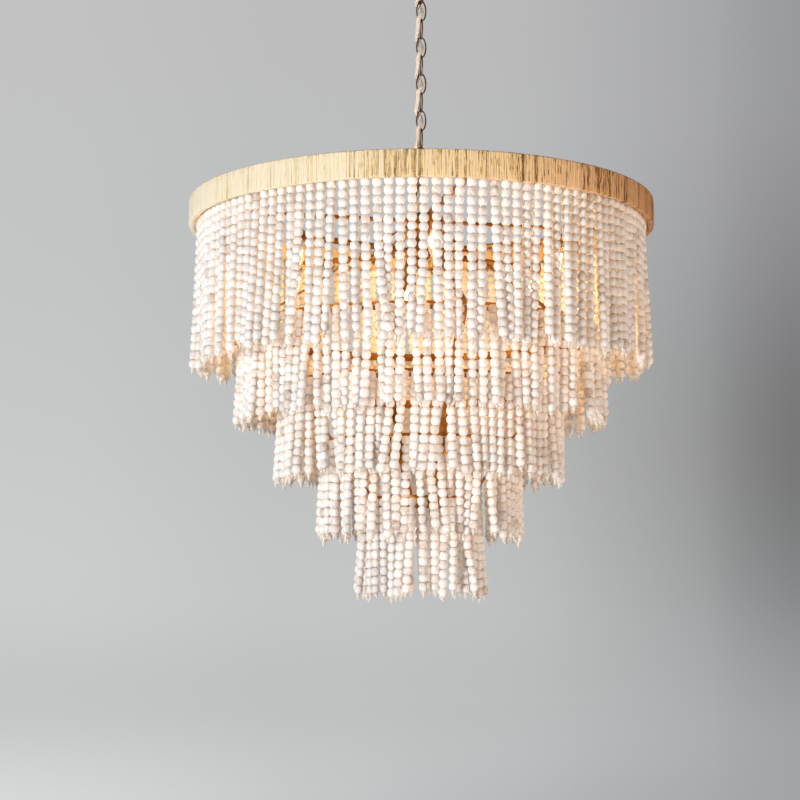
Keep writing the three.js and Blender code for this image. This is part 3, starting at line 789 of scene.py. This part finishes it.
# Painted shade at each bead's ends, where neighbouring beads meet.
wash = maths(whitewash, "ADD", wash, stretch(whitewash, ends, 0.85, 1.0, 0.0, -0.12))
joined(whitewash, Base_Color=shades(
    whitewash, wash, (0.0, "a08772"), (0.2, "d3c6ba"), (0.36, "ebe6e1"), (0.5, "f6f4f2"),
    (0.75, "fcfbfa")))
bumped(whitewash, grain, 0.00025, 0.5)

cotton, _ = new_finish("cotton thread", 0.9)
twist = stripes(cotton, 3, 2.6)
joined(cotton, Base_Color=shades(
    cotton, stretch(cotton, twist, -1, 1), (0.0, "cdbfae"), (0.5, "efe8dd"), (1.0, "f8f5ef")))
bumped(cotton, twist, 0.0003, 0.6)

# One bead's skin is barrel-sided, flat round the hole and drilled through. Its finish reads how
# near each corner is to the bead's ends, to paint shade where the beads meet. The tip is the knot
# with the thread's cut end.
bead_profile = [
    (1.1, -6.35), (3.3, -bead_half), (5.1, -5.5), (6.45, -3.2), (bead_radius, 0.0),
    (6.45, 3.2), (5.1, 5.5), (3.3, bead_half), (1.1, 6.35), (1.1, -6.35)]
bead_points, bead_faces, _, _ = lathe(bead_profile, 12)
bead_faces = np.array(bead_faces)
bead_ends = np.abs(bead_points[bead_faces.ravel(), 2]) / bead_half
tip_profile = [
    (0.5, 0.8), (2.4, 0.0), (3.2, -1.6), (2.9, -3.4), (2.0, -5.2), (1.5, -6.8), (1.3, -8.0),
    (0.8, -9.2), (0.2, -9.7)]
tip_points, tip_faces, tip_places, _ = lathe(tip_profile, 8)

# How far strands stray by their lowest bead: a group of them sideways, each one sideways and
# in its belly, and each one outwards. Strands and beads differ in length by these shares.
group_drift = 5.5
own_drift = 4.0
belly_drift = 0.9
out_lean = 1.5
out_drift = 5.2
strand_spread = 0.024
bead_spread = 0.025
string_take_up = 0.998
settling_rounds = 60
bead_clearance = 0.05
longest_push = 2.0


def hang(tier, seed):
    """Where a tier's beads hang: how far round and out each is shifted, its height and size."""
    strands, beads, radius = tier["strands"], tier["beads"], tier["radius"]
    random = np.random.default_rng(seed)
    gap = math.tau * radius / strands
    share = (np.arange(beads) + 0.5) / beads
    aside = np.zeros((strands, beads))
    out = np.zeros((strands, beads))
    length = np.ones(strands)
    index = 0
    while index < strands:
        size = int(random.choice([1, 2, 2, 3, 3, 4]))
        size = min(size, strands - index)
        pull = random.uniform(0.35, 1.0)
        power = random.uniform(1.0, 2.6)
        drift = random.normal(0, group_drift)
        for member in range(size):
            length[index + member] = random.normal(1, strand_spread)
            closer = (size - 1) / 2 - member
            end = closer * (gap - 2 * bead_radius) * pull + drift + random.normal(0, own_drift)
            aside[index + member] = end * share ** power
            out[index + member] = (out_lean + random.normal(0, out_drift)) * share ** 1.5
            belly = random.normal(0, belly_drift)
            aside[index + member] += belly * np.sin(math.pi * share) * share
        index += size
    sizes = length[:, None] + random.normal(0, bead_spread, (strands, beads))
    drops = bead_pitch * (np.cumsum(sizes, axis=1) - sizes / 2) * string_take_up
    # Beads of neighbouring strands that would overlap push each other apart, a little at a time,
    # and each strand is smoothed after every push.
    for _ in range(settling_rounds):
        for step in (-1, 0, 1):
            rows = slice(max(0, -step), beads - max(0, step))
            other = slice(max(0, step), beads + min(0, step))
            fall = np.roll(drops, -1, axis=0)[:, other] - drops[:, rows]
            wide = np.roll(aside, -1, axis=0)[:, other] - aside[:, rows] + gap
            deep = np.roll(out, -1, axis=0)[:, other] - out[:, rows]
            apart = np.sqrt(wide ** 2 + deep ** 2 + fall ** 2)
            short = np.clip(2 * bead_radius + bead_clearance - apart, 0, None)
            level = np.hypot(wide, deep)
            push = 0.5 * short * np.where(apart > 0, apart / np.maximum(level, 1e-6), 0)
            push = np.minimum(push, longest_push)
            part_aside = push * wide / np.maximum(level, 1e-6)
            part_out = push * deep / np.maximum(level, 1e-6)
            aside[:, rows] -= part_aside / 2
            out[:, rows] -= part_out / 2
            aside[:, other] += np.roll(part_aside, 1, axis=0) / 2
            out[:, other] += np.roll(part_out, 1, axis=0) / 2
        for field in (aside, out):
            field[:, 1:-1] = 0.5 * field[:, 1:-1] + 0.25 * (field[:, :-2] + field[:, 2:])
            field[:, 0] *= 0.3
    heights = np.empty((strands, beads))
    level = random.normal(0, 0.7, strands)
    for bead in range(beads):
        step = bead_pitch * sizes[:, bead] * (0.5 if bead == 0 else 1)
        if bead:
            moved = np.hypot(aside[:, bead] - aside[:, bead - 1], out[:, bead] - out[:, bead - 1])
            step = np.sqrt(np.maximum(step ** 2 - moved ** 2, 1))
        level = level + step
        heights[:, bead] = tier["top"] - level
    return aside, out, heights, sizes


def hung_points(tier, aside, out, heights, strand_list):
    """The middles of the beads on some of a tier's strands, as points."""
    turns = ((strand_list + 0.5) * math.tau / tier["strands"])[:, None]
    turns = turns + aside[strand_list] / tier["radius"]
    reach = tier["radius"] + out[strand_list]
    return np.stack([reach * np.cos(turns), reach * np.sin(turns), heights[strand_list]], axis=2)


bead_tilt = 0.045
girth_spread = 0.018
tone_spread = 0.17
thread_radius = 0.55
header_radius = 0.95
header_steps = 144
for number, tier in tiers.items():
    aside, out, heights, sizes = hang(tier, 100 + number)
    random = np.random.default_rng(200 + number)
    per_section = tier["strands"] // tier["sections"]
    for section in range(tier["sections"]):
        strand_list = np.arange(section * per_section, (section + 1) * per_section)
        centres = hung_points(tier, aside, out, heights, strand_list)
        ahead = np.gradient(centres, axis=1)
        ahead /= -np.linalg.norm(ahead, axis=2)[:, :, None]
        count = centres.shape[0] * centres.shape[1]
        axes = ahead.reshape(-1, 3) + random.normal(0, bead_tilt, (count, 3))
        axes /= np.linalg.norm(axes, axis=1)[:, None]
        spin = random.uniform(0, math.tau, count)
        level = np.stack([np.cos(spin), np.sin(spin), 0 * spin], axis=1)
        first = np.cross(axes, level)
        first /= np.linalg.norm(first, axis=1)[:, None]
        second = np.cross(axes, first)
        girth = random.normal(1.0 if number == 1 else 0.98, girth_spread, count)[:, None]
        scale = sizes[strand_list].reshape(-1, 1)
        basis = np.stack([first * girth, second * girth, axes * scale], axis=1)
        points = centres.reshape(-1, 1, 3) + np.einsum("vk,nkc->nvc", bead_points, basis)
        offsets = (np.arange(count) * len(bead_points))[:, None, None]
        faces = (bead_faces[None] + offsets).reshape(-1, 4)
        tones = np.clip(random.normal(0.5, tone_spread, count), 0, 1)
        tones = np.repeat(tones, len(bead_points))
        ends = np.tile(bead_ends, count)
        beads = (points.reshape(-1, 3), faces.tolist(), np.stack([ends, ends], axis=1), tones)
        name = f"tier_{number}_beads_{section + 1}"
        piece(name, [beads], whitewash, "fixture",
              [f"beads_tier_{number}_section_{section + 1}"], sharp=70)
        # The header cord runs outside tier 1's strands, in the band, and inside the others', at
        # their ring. Each strand's thread is tied to it and bends over into the top bead.
        tie = 4.6 if number == 1 else -7.2
        top = tier["top"]
        threads = []
        out_turns = (strand_list + 0.5) * math.tau / tier["strands"]
        for strand, turns in enumerate(out_turns):
            way, side = facing(turns)
            start = way * (tier["radius"] + tie)
            thread = [start + (0, 0, top - 1.9), start + (0, 0, top - 0.1),
                      way * (tier["radius"] + tie * 0.5) + (0, 0, top + 0.15),
                      way * tier["radius"] + (0, 0, top) + (0, 0, -0.6)]
            thread += list(centres[strand])
            end = centres[strand][-1] - ahead[strand][-1] * bead_half
            thread.append(end)
            threads.append(sweep(thread, wire(thread_radius, 5), side))
            tips = tip_points * (1, 1, random.uniform(0.85, 1.15))
            lean = random.normal(0, 0.12, 2)
            drop = tips[:, 2:3]
            tips = end + tips + np.hstack([-drop * lean[0], -drop * lean[1], 0 * drop])
            threads.append((tips, tip_faces, tip_places, 0.5))
        span = np.linspace(section, section + 1, header_steps // tier["sections"] + 1)
        span = span * math.tau / tier["sections"]
        header_reach = tier["radius"] + tie
        header_path = np.stack([header_reach * np.cos(span), header_reach * np.sin(span),
                                top - 1.0 + 0 * span], axis=1)
        threads.append(sweep(header_path, wire(header_radius, 8), (0, 0, 1)))
        piece(f"tier_{number}_threads_{section + 1}", threads, cotton, "fixture")

# Lamp arms: a turned brass hub screwed on the column, with six brass tubes brazed into it. A
# short ferrule covers each joint.
lamp_height = -472.3
lamp_circle = 234.0
lamp_turns = [math.radians(22 + 60 * lamp) for lamp in range(6)]
arm_hub = [
    (6.8, -484.3), (13.0, -484.3), (15.2, -483.0), (17.0, -481.0), (18.0, -478.5), (18.0, -466.1),
    (17.0, -463.6), (15.2, -461.6), (13.0, -460.3), (6.8, -460.3), (6.8, -484.3)]
arm_parts = [lathe(arm_hub)]
for turns in lamp_turns:
    out, side = facing(turns)
    for thickness, reach in ((10.0, (14, 90, 160, 221)), (12.4, (17, 19, 24, 26))):
        path = [out * radius + (0, 0, lamp_height) for radius in reach]
        arm_parts.append(sweep(path, wire(thickness / 2, 20), side))
piece("brazed_lamp_arms", arm_parts, gold, "fixture", ["lamp_arms"])

# Finial: a turned brass knob that screws on the column's lower end, under the lamps' hub, and
# closes it.
knob = [(6.8, -484.6), (9.4, -484.6), (10.0, -485.2), (10.0, -493.2), (9.2, -494.4), (6.2, -498.0),
        (4.4, -504.0), (4.2, -505.6), (5.4, -507.2), (6.5, -508.8), (6.4, -510.6), (5.2, -512.4),
        (3.2, -513.9), (0.8, -514.6)]
piece("turned_finial", [lathe(knob, 48)], gold, "fixture", ["finial"])

# Sockets and bulbs: a brass cup on each arm, and a small clear candle bulb that hangs in it
# and burns warm. The bulb's thread is nickel-plated brass.
glass, shader = new_finish("lit clear glass", 0.0)
shader.inputs["Transmission Weight"].default_value = 1.0
shader.inputs["IOR"].default_value = 1.45
shader.inputs["Emission Strength"].default_value = 0.12
heat = noise(glass, 90.0, 1.0)
joined(glass, Base_Color=shades(glass, heat, (0.3, "ffe9c4"), (0.7, "fff6e4")),
       Emission_Color=shades(glass, heat, (0.35, "ffb765"), (0.65, "ffd9a0")))
filament, shader = new_finish("glowing filament", 0.5)
shader.inputs["Emission Strength"].default_value = 24.0
heat = noise(filament, 400.0, 1.0)
joined(filament, Emission_Color=shades(filament, heat, (0.35, "ffc27a"), (0.65, "ffe7bd")))
nickel = metal("nickel thread", [(0.3, "8d8a80"), (0.7, "c4c0b4")], 0.3)
bulb_turning = [
    (0.3, -531.6), (1.6, -531.2), (3.0, -529.6), (5.0, -526.0), (7.4, -520.4), (9.6, -514.0),
    (11.1, -508.6), (11.5, -504.9), (11.2, -500.8), (10.0, -496.4), (8.0, -491.8),
    (6.6, -488.6), (6.0, -485.6), (5.6, -484.4)]
thread_turning = [(5.3, -485.4)]
for height in np.arange(-484.6, -471.4, 1.6):
    thread_turning += [(5.4, height), (5.95, height + 0.8)]
thread_turning += [(5.4, -470.6), (3.2, -470.2), (2.6, -469.7), (0.4, -469.6)]
cup = [
    (0.4, -469.3), (6.6, -469.3), (6.6, -480.3), (8.0, -482.3), (10.5, -482.3), (12.0, -481.7),
    (12.5, -480.3), (12.5, -476.0), (12.1, -475.5), (12.1, -474.8), (12.5, -474.3),
    (12.5, -466.3), (12.0, -465.2), (9.4, -463.2), (7.4, -462.3), (0.4, -462.3)]
coil_height = -503.0
coil_radius = 4.6
coil_turn = 0.9
coil_wave = 6
filament_radius = 0.8
for lamp, turns in enumerate(lamp_turns):
    centre = (lamp_circle * math.cos(turns), lamp_circle * math.sin(turns))
    number = lamp + 1
    bulb = f"bulb_{number}"
    piece(f"brass_socket_{number}", [lathe(cup, 40, centre)], gold, "fixture",
          [f"socket_{number}"])
    lit = piece(f"candle_bulb_{number}", [lathe(bulb_turning, 40, centre)], glass,
                bulb, [bulb])
    lit.visible_shadow = False
    turn = np.arange(96) * math.tau / 96
    coil_reach = coil_radius + coil_turn * np.cos(16 * turn)
    coil = np.stack([
        centre[0] + coil_reach * np.cos(turn), centre[1] + coil_reach * np.sin(turn),
        coil_height + coil_wave * np.cos(2 * turn) + coil_turn * np.sin(16 * turn)], axis=1)
    coil = sweep(coil, wire(filament_radius, 6), (0, 0, 1), closed=True)
    piece(f"filament_{number}", [coil], filament, bulb)
    piece(f"bulb_thread_{number}", [lathe(thread_turning, 36, centre)], nickel, bulb)
    glow = bpy.data.lights.new(f"glow_{number}", "POINT")
    glow.energy = 0.8
    glow.shadow_soft_size = 0.009
    glow.color = (1.0, 0.52, 0.16)
    shine = bpy.data.objects.new(f"glow_{number}", glow)
    scene.collection.objects.link(shine)
    shine.location = (centre[0] / 1000, centre[1] / 1000, coil_height / 1000)
    shine.visible_camera = shine.visible_glossy = shine.visible_transmission = False
